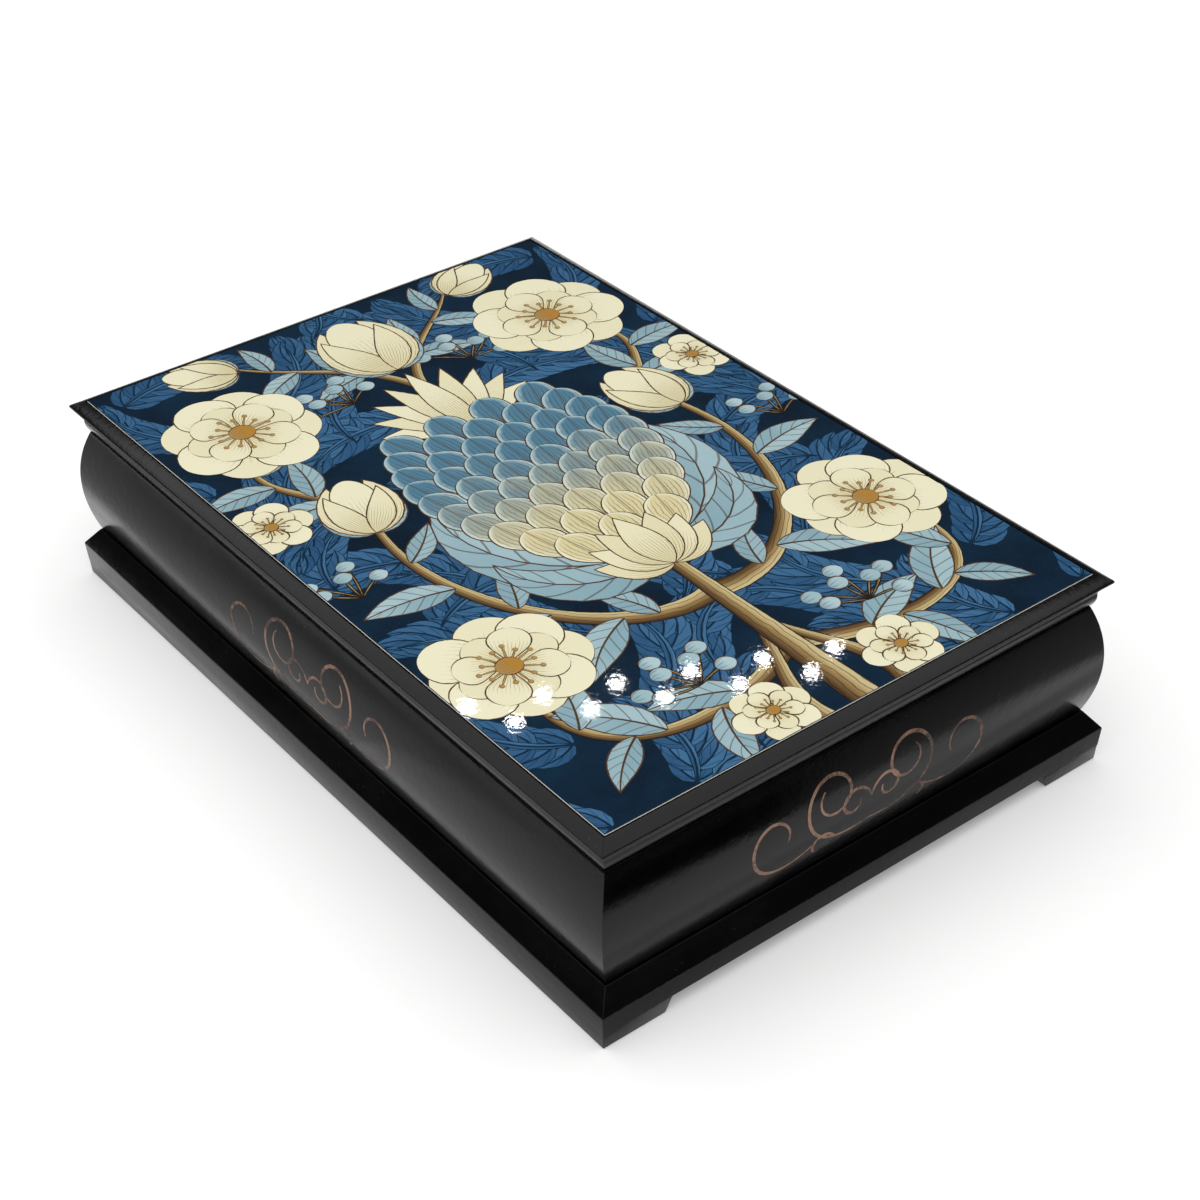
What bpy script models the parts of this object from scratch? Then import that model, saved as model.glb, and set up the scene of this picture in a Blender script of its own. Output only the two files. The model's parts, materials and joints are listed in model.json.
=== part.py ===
# Lacquered trinket box: a bulging, mitred case on a bevelled plinth with two
# runners, and a hinged lid whose moulded frame holds a picture panel.
# Metres, +Z up. X runs along the box, -Y is its front and +Y its hinge side.
# The origin is the middle of the footprint, on the surface that the box stands on.

import math

import bmesh
import bpy
from mathutils import Matrix, Vector

MM = 0.001

# Plinth and runners
PLINTH_LENGTH = 180.0 * MM      # over the rim, along X
PLINTH_WIDTH = 122.0 * MM       # over the rim, along Y
PLINTH_HEIGHT = 11.4 * MM       # floor to the seat that the walls stand on
RIM_HEIGHT = 7.6 * MM           # floor to the rim, where the bevel starts
SIDE_DRAFT = 0.5 * MM           # how far the sides lean in from the rim to the floor
SEAT_LEDGE = 0.3 * MM           # strip of the seat that shows outside the walls
RUNNER_HEIGHT = 3.3 * MM
RUNNER_WIDTH = 13.5 * MM        # across its sole
RUNNER_SLANT = 1.5 * MM         # how much wider its top is than its sole

# Case walls, as insets from the rim
WALL_HEIGHT = 24.2 * MM
WALL_FOOT_INSET = 3.2 * MM
WALL_NECK_INSET = 3.8 * MM
WALL_BULGE = 2.4 * MM           # rise of the outer arc over its chord
WALL_THICKNESS = 6.4 * MM       # at the neck

# Red-lacquered inside
FLOOR_THICKNESS = 1.5 * MM
LINER_THICKNESS = 2.0 * MM
LINER_LIP = 1.5 * MM            # how far the liner stands above the walls
LINER_CHAMFER = 0.5 * MM

# Lid frame, from its underside up
BEAD_HEIGHT = 2.7 * MM
BEAD_SETBACK = 0.2 * MM         # how far the bead's foot stands inside the neck
BEAD_REACH = 0.85 * MM          # how far the bead's top stands outside its foot
BEAD_BULGE = 0.35 * MM
COVE_HEIGHT = 2.6 * MM
COVE_REACH = 1.95 * MM
COVE_HOLLOW = 0.4 * MM
RIDGE_HEIGHT = 0.5 * MM
BORDER_WIDTH = 2.6 * MM         # from the ridge in to the picture panel's rebate
BORDER_RISE = 1.3 * MM
BORDER_CROWN = 0.12 * MM

# Boards in the lid
PICTURE_THICKNESS = 2.5 * MM
PICTURE_PROUD = 0.2 * MM        # how far its face stands above the border
PICTURE_CHAMFER = 0.15 * MM
LIP_HEADROOM = 0.8 * MM         # from the liner's lip to the lining board

# Butt hinges
HINGE_SPACING = 100.0 * MM      # between the two hinges' middles
HINGE_LENGTH = 22.0 * MM
HINGE_SETBACK = 0.1 * MM        # how far the axis stands inside the neck
BARREL_RADIUS = 1.4 * MM
PIN_RADIUS = 0.6 * MM
PIN_HEAD_RADIUS = 1.0 * MM
PIN_HEAD_HEIGHT = 0.5 * MM
LEAF_THICKNESS = 0.8 * MM
TAB_SETBACK = 0.1 * MM          # how far a knuckle stands past the sides of its tab
MORTISE_WALL = 1.0 * MM         # wood left between the mortise and the inside
SCREW_SPACING = 13.0 * MM
SCREW_LENGTH = 3.0 * MM
SCREW_HEAD_RADIUS = 0.9 * MM
SCREW_SHANK_RADIUS = 0.4 * MM
SCREW_HEAD_HEIGHT = 0.4 * MM
SCREW_SLOT_WIDTH = 0.3 * MM
SCREW_SLOT_DEPTH = 0.2 * MM

# Clearances
GLUE_GAP = 0.3 * MM             # between glued faces
MITRE_GAP = 0.3 * MM            # between mitred ends
LID_GAP = 0.3 * MM              # between the walls and the closed lid
LIP_GAP = 0.5 * MM              # between the liner's lip and the lid frame
HINGE_GAP = 0.3 * MM            # between hinge pieces, and round them in the wood

# Facets
WALL_SEGMENTS = 24
MOULDING_SEGMENTS = 8
BARREL_SEGMENTS = 24
SCREW_SEGMENTS = 16
OVERCUT = 2.0 * MM              # how far a cutter runs past an open face

# Levels and insets that follow from the sizes above
HALF_LENGTH = PLINTH_LENGTH / 2
HALF_WIDTH = PLINTH_WIDTH / 2
BOARD_UNDERSIDE = RUNNER_HEIGHT + GLUE_GAP
WALL_FOOT = PLINTH_HEIGHT + GLUE_GAP
NECK = WALL_FOOT + WALL_HEIGHT
WALL_INNER_INSET = WALL_NECK_INSET + WALL_THICKNESS
LINER_OUTER_INSET = WALL_INNER_INSET + GLUE_GAP
LINER_INNER_INSET = LINER_OUTER_INSET + LINER_THICKNESS
FLOOR_TOP = WALL_FOOT + FLOOR_THICKNESS
LIP_TOP = NECK + LINER_LIP
LID_UNDERSIDE = NECK + LID_GAP
LID_INNER_INSET = LINER_OUTER_INSET - LIP_GAP
BEAD_FOOT_INSET = WALL_NECK_INSET + BEAD_SETBACK
BEAD_TOP = LID_UNDERSIDE + BEAD_HEIGHT
COVE_TOP = BEAD_TOP + COVE_HEIGHT
RIDGE_INSET = BEAD_FOOT_INSET - BEAD_REACH - COVE_REACH
RIDGE_TOP = COVE_TOP + RIDGE_HEIGHT
REBATE_INSET = RIDGE_INSET + BORDER_WIDTH
BORDER_TOP = RIDGE_TOP + BORDER_RISE
PICTURE_TOP = BORDER_TOP + PICTURE_PROUD
REBATE_FLOOR = PICTURE_TOP - PICTURE_THICKNESS - GLUE_GAP
LINING_UNDERSIDE = LIP_TOP + LIP_HEADROOM
HINGE_AXIS_INSET = WALL_NECK_INSET + HINGE_SETBACK
HINGE_AXIS = Vector((0, HALF_WIDTH - HINGE_AXIS_INSET, NECK + LID_GAP / 2))
LEAF_WIDTH = WALL_INNER_INSET - MORTISE_WALL - HINGE_GAP - HINGE_AXIS_INSET
KNUCKLE_CLEAR_RADIUS = BARREL_RADIUS + HINGE_GAP
BORE_RADIUS = PIN_RADIUS + HINGE_GAP
KNUCKLE_LENGTH = (HINGE_LENGTH - 2 * HINGE_GAP) / 3
SCREW_OFFSET = (KNUCKLE_CLEAR_RADIUS + LEAF_WIDTH) / 2
SCREW_HOLE_RADIUS = SCREW_SHANK_RADIUS + HINGE_GAP


# Materials

def make_material(name, colour, roughness, metallic=0.0):
    material = bpy.data.materials.new(name)
    material.use_nodes = True
    shader = material.node_tree.nodes["Principled BSDF"]
    shader.inputs["Base Color"].default_value = (*colour, 1.0)
    shader.inputs["Roughness"].default_value = roughness
    shader.inputs["Metallic"].default_value = metallic
    return material


# Outlines, as (outward, up) points counted from the rim and the floor

def arc(start, end, rise, segments):
    # Circular arc; a positive rise bows it to the right of the way it runs.
    start, end = Vector(start), Vector(end)
    along = (end - start).normalized()
    aside = Vector((along.y, -along.x))
    half_chord = (end - start).length / 2
    radius = (half_chord ** 2 + rise ** 2) / (2 * rise)
    centre = (start + end) / 2 + aside * (rise - radius)
    half_angle = math.asin(half_chord / abs(radius))
    points = []
    for step in range(segments + 1):
        angle = half_angle * (2 * step / segments - 1)
        points.append(centre + aside * radius * math.cos(angle) + along * abs(radius) * math.sin(angle))
    return points


def side_draft(height):
    # Outward offset of the plinth's leaning side at a height below the rim.
    return -SIDE_DRAFT * (1 - height / RIM_HEIGHT)


def wall_outline():
    outer = arc((-WALL_FOOT_INSET, WALL_FOOT), (-WALL_NECK_INSET, NECK), WALL_BULGE, WALL_SEGMENTS)
    inner = [(-WALL_INNER_INSET, NECK), (-WALL_INNER_INSET, WALL_FOOT)]
    return outer + inner


def liner_outline():
    foot = FLOOR_TOP + GLUE_GAP
    return [
        (-LINER_OUTER_INSET, foot),
        (-LINER_OUTER_INSET, LIP_TOP - LINER_CHAMFER),
        (-LINER_OUTER_INSET - LINER_CHAMFER, LIP_TOP),
        (-LINER_INNER_INSET + LINER_CHAMFER, LIP_TOP),
        (-LINER_INNER_INSET, LIP_TOP - LINER_CHAMFER),
        (-LINER_INNER_INSET, foot),
    ]


def lid_outline():
    bead_top_inset = BEAD_FOOT_INSET - BEAD_REACH
    bead = arc((-BEAD_FOOT_INSET, LID_UNDERSIDE), (-bead_top_inset, BEAD_TOP), BEAD_BULGE, MOULDING_SEGMENTS)
    cove = arc((-bead_top_inset, BEAD_TOP), (-RIDGE_INSET, COVE_TOP), -COVE_HOLLOW, MOULDING_SEGMENTS)
    border = arc((-RIDGE_INSET, RIDGE_TOP), (-REBATE_INSET, BORDER_TOP), BORDER_CROWN, MOULDING_SEGMENTS)
    rebate = [(-REBATE_INSET, REBATE_FLOOR), (-LID_INNER_INSET, REBATE_FLOOR)]
    return bead + cove[1:] + border + rebate + [(-LID_INNER_INSET, LID_UNDERSIDE)]


def runner_outline():
    sole = side_draft(0)
    return [
        (sole, 0),
        (side_draft(RUNNER_HEIGHT), RUNNER_HEIGHT),
        (sole - RUNNER_WIDTH - RUNNER_SLANT, RUNNER_HEIGHT),
        (sole - RUNNER_WIDTH, 0),
    ]


# Solids

def add_object(name, mesh, parent, material, location=(0, 0, 0)):
    # A piece is placed in the box's frame, then hung on its body's empty.
    mesh.shade_smooth()
    mesh.set_sharp_from_angle(angle=math.radians(20))
    mesh.materials.append(material)
    piece = bpy.data.objects.new(name, mesh)
    piece.location = location
    piece.parent = parent
    piece.matrix_parent_inverse = Matrix.Translation(parent.location).inverted()
    bpy.context.collection.objects.link(piece)
    return piece


def close_mesh(name, shape):
    bmesh.ops.recalc_face_normals(shape, faces=shape.faces)
    mesh = bpy.data.meshes.new(name)
    shape.to_mesh(mesh)
    shape.free()
    return mesh


def rail_mesh(name, side, outline, end_offset):
    # One side of a frame: the outline runs along the side between two shaped ends.
    places = {
        "front": (HALF_LENGTH, lambda along, out: (along, -HALF_WIDTH - out)),
        "back": (HALF_LENGTH, lambda along, out: (-along, HALF_WIDTH + out)),
        "left": (HALF_WIDTH, lambda along, out: (-HALF_LENGTH - out, -along)),
        "right": (HALF_WIDTH, lambda along, out: (HALF_LENGTH + out, along)),
    }
    half_run, place = places[side]
    shape = bmesh.new()
    ends = []
    for direction in (-1, 1):
        ring = []
        for out, up in outline:
            along = direction * (half_run + end_offset(out, up))
            ring.append(shape.verts.new((*place(along, out), up)))
        shape.faces.new(ring)
        ends.append(ring)
    count = len(outline)
    for index in range(count):
        after = (index + 1) % count
        shape.faces.new((ends[0][index], ends[0][after], ends[1][after], ends[1][index]))
    return close_mesh(name, shape)


def mitred_end(out, up):
    return out - MITRE_GAP / math.sqrt(2)


def drafted_end(out, up):
    return side_draft(up)


def stacked_mesh(name, levels):
    # A board built up from level rectangles, each (inset from the rim, height).
    shape = bmesh.new()
    rings = []
    for inset, height in levels:
        x = HALF_LENGTH - inset
        y = HALF_WIDTH - inset
        corners = ((-x, -y), (x, -y), (x, y), (-x, y))
        rings.append([shape.verts.new((*corner, height)) for corner in corners])
    for lower, upper in zip(rings, rings[1:]):
        for index in range(4):
            after = (index + 1) % 4
            shape.faces.new((lower[index], lower[after], upper[after], upper[index]))
    shape.faces.new(rings[0])
    shape.faces.new(rings[-1])
    return close_mesh(name, shape)


def box_mesh(name, low, high):
    shape = bmesh.new()
    size = Vector(high) - Vector(low)
    place = Matrix.Translation((Vector(low) + Vector(high)) / 2) @ Matrix.Diagonal((*size, 1))
    bmesh.ops.create_cube(shape, size=1.0, matrix=place)
    return close_mesh(name, shape)


def turned_mesh(name, profile, axis, segments):
    # A turned solid: (along, radius) points spun about X or Z, pointed at both ends.
    shape = bmesh.new()
    if axis == "X":
        points = [Vector((along, 0, radius)) for along, radius in profile]
        spin_axis = Vector((1, 0, 0))
    else:
        points = [Vector((radius, 0, along)) for along, radius in profile]
        spin_axis = Vector((0, 0, 1))
    verts = [shape.verts.new(point) for point in points]
    edges = [shape.edges.new(pair) for pair in zip(verts, verts[1:])]
    bmesh.ops.spin(shape, geom=verts + edges, cent=(0, 0, 0), axis=spin_axis,
                   angle=math.tau, steps=segments, use_merge=True)
    bmesh.ops.remove_doubles(shape, verts=shape.verts, dist=MM * 1e-4)
    return close_mesh(name, shape)


def barrel_mesh(name, start, end, radius):
    return turned_mesh(name, [(start, 0), (start, radius), (end, radius), (end, 0)], "X", BARREL_SEGMENTS)


def add_boolean(piece, tool, operation):
    tool.hide_render = True
    tool.display_type = "WIRE"
    modifier = piece.modifiers.new(operation.title(), "BOOLEAN")
    modifier.operation = operation
    modifier.object = tool


# Pieces of the case

def build_plinth(case, black):
    levels = [
        (-side_draft(BOARD_UNDERSIDE), BOARD_UNDERSIDE),
        (0, RIM_HEIGHT),
        (WALL_FOOT_INSET - SEAT_LEDGE, PLINTH_HEIGHT),
    ]
    add_object("base_board", stacked_mesh("base_board", levels), case, black)
    for side in ("front", "back"):
        name = f"foot_runner_{side}"
        add_object(name, rail_mesh(name, side, runner_outline(), drafted_end), case, black)


def build_walls(case, black):
    walls = {}
    for side in ("front", "back", "left", "right"):
        name = f"{side}_wall"
        walls[side] = add_object(name, rail_mesh(name, side, wall_outline(), mitred_end), case, black)
    return walls


def build_inside(case, red):
    inset = WALL_INNER_INSET + GLUE_GAP
    levels = [(inset, WALL_FOOT), (inset, FLOOR_TOP)]
    add_object("floor_panel", stacked_mesh("floor_panel", levels), case, red)
    for side in ("front", "back", "left", "right"):
        name = f"liner_{side}"
        add_object(name, rail_mesh(name, side, liner_outline(), mitred_end), case, red)


# Pieces of the lid

def build_lid(lid, black, red, printed):
    frames = {}
    for side in ("front", "back", "left", "right"):
        name = f"lid_frame_{side}"
        frames[side] = add_object(name, rail_mesh(name, side, lid_outline(), mitred_end), lid, black)
    picture_inset = REBATE_INSET + GLUE_GAP
    picture_levels = [
        (picture_inset, PICTURE_TOP - PICTURE_THICKNESS),
        (picture_inset, PICTURE_TOP - PICTURE_CHAMFER),
        (picture_inset + PICTURE_CHAMFER, PICTURE_TOP),
    ]
    add_object("picture_panel", stacked_mesh("picture_panel", picture_levels), lid, printed)
    lining_inset = LID_INNER_INSET + GLUE_GAP
    lining_levels = [(lining_inset, LINING_UNDERSIDE), (lining_inset, REBATE_FLOOR)]
    add_object("lid_lining", stacked_mesh("lid_lining", lining_levels), lid, red)
    return frames


# Hinges: each leaf lies in a mortise, and its knuckles turn on one pin

def knuckle_spans(leaf):
    # Three equal knuckles along the barrel: the outer two are the case leaf's.
    pitch = KNUCKLE_LENGTH + HINGE_GAP
    middles = {"case": (-pitch, pitch), "lid": (0,)}[leaf]
    return [(middle - KNUCKLE_LENGTH / 2, middle + KNUCKLE_LENGTH / 2) for middle in middles]


def leaf_levels(leaf):
    # Heights of the leaf's plate from the axis, its shown face first.
    face = LID_GAP / 2
    if leaf == "case":
        return -face, -face - LEAF_THICKNESS
    return face, face + LEAF_THICKNESS


def add_leaf(name, leaf, parent, brass, place):
    face, back = leaf_levels(leaf)
    low = (-HINGE_LENGTH / 2, -LEAF_WIDTH, min(face, back))
    high = (HINGE_LENGTH / 2, 0, max(face, back))
    piece = add_object(name, box_mesh(name, low, high), parent, brass, place)
    other = "lid" if leaf == "case" else "case"
    room = HINGE_GAP + TAB_SETBACK
    for start, end in knuckle_spans(other):
        mesh = barrel_mesh(f"{name}_relief", start - room, end + room, KNUCKLE_CLEAR_RADIUS)
        add_boolean(piece, add_object(mesh.name, mesh, parent, brass, place), "DIFFERENCE")
    for start, end in knuckle_spans(leaf):
        mesh = barrel_mesh(f"{name}_knuckle", start, end, BARREL_RADIUS)
        add_boolean(piece, add_object(mesh.name, mesh, parent, brass, place), "UNION")
    reach = HINGE_LENGTH / 2 + OVERCUT
    mesh = barrel_mesh(f"{name}_bore", -reach, reach, BORE_RADIUS)
    add_boolean(piece, add_object(mesh.name, mesh, parent, brass, place), "DIFFERENCE")
    return piece


def add_pin(name, parent, brass, place):
    shoulder = HINGE_LENGTH / 2 + HINGE_GAP
    tip = shoulder + PIN_HEAD_HEIGHT
    profile = [(-tip, 0), (-tip, PIN_RADIUS), (-shoulder, PIN_HEAD_RADIUS), (-shoulder, PIN_RADIUS)]
    profile += [(-along, radius) for along, radius in reversed(profile)]
    add_object(name, turned_mesh(name, profile, "X", BARREL_SEGMENTS), parent, brass, place)


def cut_mortise(name, leaf, wood, parent, brass, place):
    # Room for the plate, the barrel and the pin's heads in the wall or the lid frame.
    face, back = leaf_levels(leaf)
    outward = math.copysign(1, face)
    floor = back + outward * HINGE_GAP
    mouth = -outward * OVERCUT
    half = HINGE_LENGTH / 2 + HINGE_GAP
    low = (-half, -LEAF_WIDTH - HINGE_GAP, min(floor, mouth))
    high = (half, OVERCUT, max(floor, mouth))
    mesh = box_mesh(f"{name}_mortise", low, high)
    add_boolean(wood, add_object(mesh.name, mesh, parent, brass, place), "DIFFERENCE")
    reach = HINGE_LENGTH / 2 + 2 * HINGE_GAP + PIN_HEAD_HEIGHT
    mesh = barrel_mesh(f"{name}_notch", -reach, reach, KNUCKLE_CLEAR_RADIUS)
    add_boolean(wood, add_object(mesh.name, mesh, parent, brass, place), "DIFFERENCE")


def screw_profile(face, inward):
    # Countersunk head flush with the leaf's face, shank and point, run inward from the face.
    neck = face + inward * SCREW_HEAD_HEIGHT
    shoulder = face + inward * (SCREW_LENGTH - SCREW_SHANK_RADIUS)
    point = face + inward * SCREW_LENGTH
    return [(face, 0), (face, SCREW_HEAD_RADIUS), (neck, SCREW_SHANK_RADIUS),
            (shoulder, SCREW_SHANK_RADIUS), (point, 0)]


def screw_hole_profile(face, inward):
    # The screw's outline with a clearance all round, open past the leaf's face.
    mouth = face - inward * OVERCUT
    neck = face + inward * SCREW_HEAD_HEIGHT
    end = face + inward * (SCREW_LENGTH + HINGE_GAP)
    head = SCREW_HEAD_RADIUS + HINGE_GAP
    return [(mouth, 0), (mouth, head), (face, head), (neck, SCREW_HOLE_RADIUS),
            (end, SCREW_HOLE_RADIUS), (end, 0)]


def add_screws(name, leaf, plate, wood, parent, brass, place):
    face = leaf_levels(leaf)[0]
    inward = math.copysign(1, face)
    for number, direction in ((1, -1), (2, 1)):
        spot = place + Vector((direction * SCREW_SPACING / 2, -SCREW_OFFSET, 0))
        screw = f"{name}_screw_{number}"
        mesh = turned_mesh(screw, screw_profile(face, inward), "Z", SCREW_SEGMENTS)
        piece = add_object(screw, mesh, parent, brass, spot)
        slot_floor = face + inward * SCREW_SLOT_DEPTH
        slot_mouth = face - inward * OVERCUT
        low = (-SCREW_HEAD_RADIUS - OVERCUT, -SCREW_SLOT_WIDTH / 2, min(slot_floor, slot_mouth))
        high = (SCREW_HEAD_RADIUS + OVERCUT, SCREW_SLOT_WIDTH / 2, max(slot_floor, slot_mouth))
        slot = box_mesh(f"{screw}_slot", low, high)
        add_boolean(piece, add_object(slot.name, slot, parent, brass, spot), "DIFFERENCE")
        hole = turned_mesh(f"{screw}_hole", screw_hole_profile(face, inward), "Z", SCREW_SEGMENTS)
        cutter = add_object(hole.name, hole, parent, brass, spot)
        add_boolean(plate, cutter, "DIFFERENCE")
        add_boolean(wood, cutter, "DIFFERENCE")


def build_hinges(case, lid, back_wall, back_frame, brass):
    for side, direction in (("left", -1), ("right", 1)):
        place = HINGE_AXIS + Vector((direction * HINGE_SPACING / 2, 0, 0))
        add_pin(f"hinge_{side}_pin", case, brass, place)
        for leaf, parent, wood in (("case", case, back_wall), ("lid", lid, back_frame)):
            name = f"hinge_{side}_{leaf}_leaf"
            plate = add_leaf(name, leaf, parent, brass, place)
            cut_mortise(name, leaf, wood, parent, brass, place)
            add_screws(f"hinge_{side}_{leaf}", leaf, plate, wood, parent, brass, place)


def add_empty(name, location):
    empty = bpy.data.objects.new(name, None)
    empty.location = location
    bpy.context.collection.objects.link(empty)
    return empty


def main():
    for leftover in list(bpy.data.objects):
        bpy.data.objects.remove(leftover)
    black = make_material("black_lacquer", (0.012, 0.012, 0.013), 0.22)
    red = make_material("red_lacquer", (0.42, 0.030, 0.018), 0.28)
    printed = make_material("lacquered_picture", (0.055, 0.120, 0.230), 0.18)
    brass = make_material("hinge_brass", (0.72, 0.52, 0.22), 0.30, 1.0)
    case = add_empty("case", (0, 0, 0))
    lid = add_empty("lid", HINGE_AXIS)
    build_plinth(case, black)
    walls = build_walls(case, black)
    build_inside(case, red)
    frames = build_lid(lid, black, red, printed)
    build_hinges(case, lid, walls["back"], frames["back"], brass)


main()
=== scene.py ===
import json
import math
import random
import bpy
from mathutils import Matrix, Vector


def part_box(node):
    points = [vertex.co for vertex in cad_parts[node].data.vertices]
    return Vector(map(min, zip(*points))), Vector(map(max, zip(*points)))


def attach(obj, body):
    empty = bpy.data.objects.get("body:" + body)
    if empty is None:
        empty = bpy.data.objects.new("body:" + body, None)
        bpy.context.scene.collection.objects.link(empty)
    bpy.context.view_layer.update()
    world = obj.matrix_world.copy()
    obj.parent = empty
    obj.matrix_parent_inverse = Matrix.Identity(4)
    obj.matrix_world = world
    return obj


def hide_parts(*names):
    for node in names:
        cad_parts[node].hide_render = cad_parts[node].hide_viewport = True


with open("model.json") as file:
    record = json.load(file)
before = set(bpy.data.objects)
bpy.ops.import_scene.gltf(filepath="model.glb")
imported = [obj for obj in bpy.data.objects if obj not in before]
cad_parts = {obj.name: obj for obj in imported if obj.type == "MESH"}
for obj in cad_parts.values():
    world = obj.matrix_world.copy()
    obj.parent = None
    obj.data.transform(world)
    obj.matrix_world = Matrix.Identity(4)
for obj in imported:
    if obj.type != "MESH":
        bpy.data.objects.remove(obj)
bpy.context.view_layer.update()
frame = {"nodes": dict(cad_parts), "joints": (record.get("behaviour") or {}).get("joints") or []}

mm = 0.001
random.seed(7)
halfLength, halfWidth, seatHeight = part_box("base_board")[1]       # the rim is the box's outline
print("frame loaded, rim", round(halfLength * 2 / mm, 1), "x", round(halfWidth * 2 / mm, 1), "mm")

sides = {  # direction along the side, direction out of it, half its run, half the box across it
    "front": (Vector((1, 0, 0)), Vector((0, -1, 0)), halfLength, halfWidth),
    "right": (Vector((0, 1, 0)), Vector((1, 0, 0)), halfWidth, halfLength),
    "back": (Vector((-1, 0, 0)), Vector((0, 1, 0)), halfLength, halfWidth),
    "left": (Vector((0, -1, 0)), Vector((-1, 0, 0)), halfWidth, halfLength),
}
up = Vector((0, 0, 1))


# small helpers for working by hand in object and edit mode

def clearSelection():
    if bpy.context.object and bpy.context.object.mode != "OBJECT":
        bpy.ops.object.mode_set(mode="OBJECT")
    bpy.ops.object.select_all(action="DESELECT")


def pick(piece):
    clearSelection()
    piece.select_set(True)
    bpy.context.view_layer.objects.active = piece


def editAll(piece):
    pick(piece)
    bpy.ops.object.mode_set(mode="EDIT")
    bpy.ops.mesh.select_all(action="SELECT")


def leaveEdit():
    bpy.ops.object.mode_set(mode="OBJECT")


def applyPlace(piece):
    pick(piece)
    bpy.ops.object.transform_apply(location=True, rotation=True, scale=True)


def addPlane(name, size, location, turn=0.0):
    clearSelection()
    bpy.ops.mesh.primitive_plane_add(size=size, location=location, rotation=(0, 0, turn))
    plane = bpy.context.object
    plane.name = name
    plane.data.name = name
    return plane


def useModifier(piece, kind, **settings):
    pick(piece)
    modifier = piece.modifiers.new(kind.title(), kind)
    for key, value in settings.items():
        setattr(modifier, key, value)
    bpy.ops.object.modifier_apply(modifier=modifier.name)


def cutAway(piece, spot, normal, fill=True):
    # take off what lies past a plane
    editAll(piece)
    bpy.ops.mesh.bisect(plane_co=spot, plane_no=normal, clear_outer=True, use_fill=fill)
    leaveEdit()


def faceOut(piece):
    editAll(piece)
    bpy.ops.mesh.normals_make_consistent(inside=False)
    leaveEdit()


edges = {"sharp": 28, "seamShare": 0.35, "slack": 0.02}       # degrees, share of the rounding, tolerance


def smoothShade(piece, angle):
    pick(piece)
    bpy.ops.object.shade_smooth_by_angle(angle=math.radians(angle))


def isMitre(normal):
    return abs(abs(normal.x) - abs(normal.y)) < edges["slack"] and abs(normal.z) < edges["slack"]


def roundEdges(piece, width, segments, weigh, angle=edges["sharp"]):
    # round each edge by its own weight, and mark the rounded faces, where the finish gets rubbed
    beside = {}
    for face in piece.data.polygons:
        for key in face.edge_keys:
            beside.setdefault(key, []).append(face.normal)
    weights = piece.data.attributes.new("bevel_weight_edge", "FLOAT", "EDGE").data
    for edge in piece.data.edges:
        heights = [piece.data.vertices[index].co.z for index in edge.vertices]
        weights[edge.index].value = weigh(heights, beside[edge.key])
    for slot in range(2):
        piece.data.materials.append(None)
    useModifier(piece, "BEVEL", width=width, segments=segments, limit_method="WEIGHT", material=1)
    rounded = [float(face.material_index) for face in piece.data.polygons]
    piece.data.attributes.new("arris", "FLOAT", "FACE").data.foreach_set("value", rounded)
    for face in piece.data.polygons:
        face.material_index = 0
    smoothShade(piece, angle)


def roundArrises(piece, width, angle=edges["sharp"], seams=()):
    # round the sharp edges, and less so along mitres and at seam heights, where two pieces meet
    def weigh(heights, normals):
        if len(normals) != 2 or normals[0].angle(normals[1], 0.0) < math.radians(angle):
            return 0.0
        slack = edges["slack"] * mm
        onSeam = any(max(abs(height - seam) for height in heights) < slack for seam in seams)
        return edges["seamShare"] if onSeam or any(isMitre(normal) for normal in normals) else 1.0

    roundEdges(piece, width, 3, weigh, angle)


def finishPiece(piece, material, body, slotName, *nodes):
    piece.data.materials.clear()
    piece.data.materials.append(material)
    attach(piece, body)
    if nodes:
        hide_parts(*nodes)


def joinPieces(pieces, name):
    clearSelection()
    for piece in pieces:
        piece.select_set(True)
    bpy.context.view_layer.objects.active = pieces[0]
    bpy.ops.object.join()
    joined = bpy.context.object
    joined.name = name
    joined.data.name = name
    return joined


def arcPoints(start, end, rise, steps):
    # circular arc; a positive rise bows it to the right of the way it runs
    start, end = Vector(start), Vector(end)
    along = (end - start).normalized()
    aside = Vector((along.y, -along.x))
    half = (end - start).length / 2
    radius = (half ** 2 + rise ** 2) / (2 * rise)
    centre = (start + end) / 2 + aside * (rise - radius)
    spread = math.asin(half / abs(radius))
    points = []
    for step in range(steps + 1):
        turn = spread * (2 * step / steps - 1)
        points.append(centre + aside * radius * math.cos(turn) + along * abs(radius) * math.sin(turn))
    return points


rail = {"overrun": 20 * mm, "mitreGap": 0.012 * mm}


def drawRail(name, sideName, outline, mitred=True):
    # trace the outline with an extruded vertex, fill it, pull it along the side, cut both mitres
    along, out, halfRun, halfOut = sides[sideName]
    spots = [out * (halfOut + point[0]) + up * point[1] for point in outline]
    reach = halfRun + rail["overrun"]
    piece = addPlane(name, mm, spots[0] - along * reach)
    applyPlace(piece)
    editAll(piece)
    bpy.ops.mesh.merge(type="CENTER")
    for before, after in zip(spots, spots[1:]):
        bpy.ops.mesh.extrude_region_move(TRANSFORM_OT_translate={"value": after - before})
    bpy.ops.mesh.select_all(action="SELECT")
    bpy.ops.mesh.edge_face_add()
    bpy.ops.mesh.extrude_region_move(TRANSFORM_OT_translate={"value": along * reach * 2})
    leaveEdit()
    for direction in (1, -1) if mitred else ():
        normal = (along * direction - out).normalized()
        corner = along * direction * halfRun + out * halfOut
        cutAway(piece, corner - normal * rail["mitreGap"] / 2, normal)
    faceOut(piece)
    return piece


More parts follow.
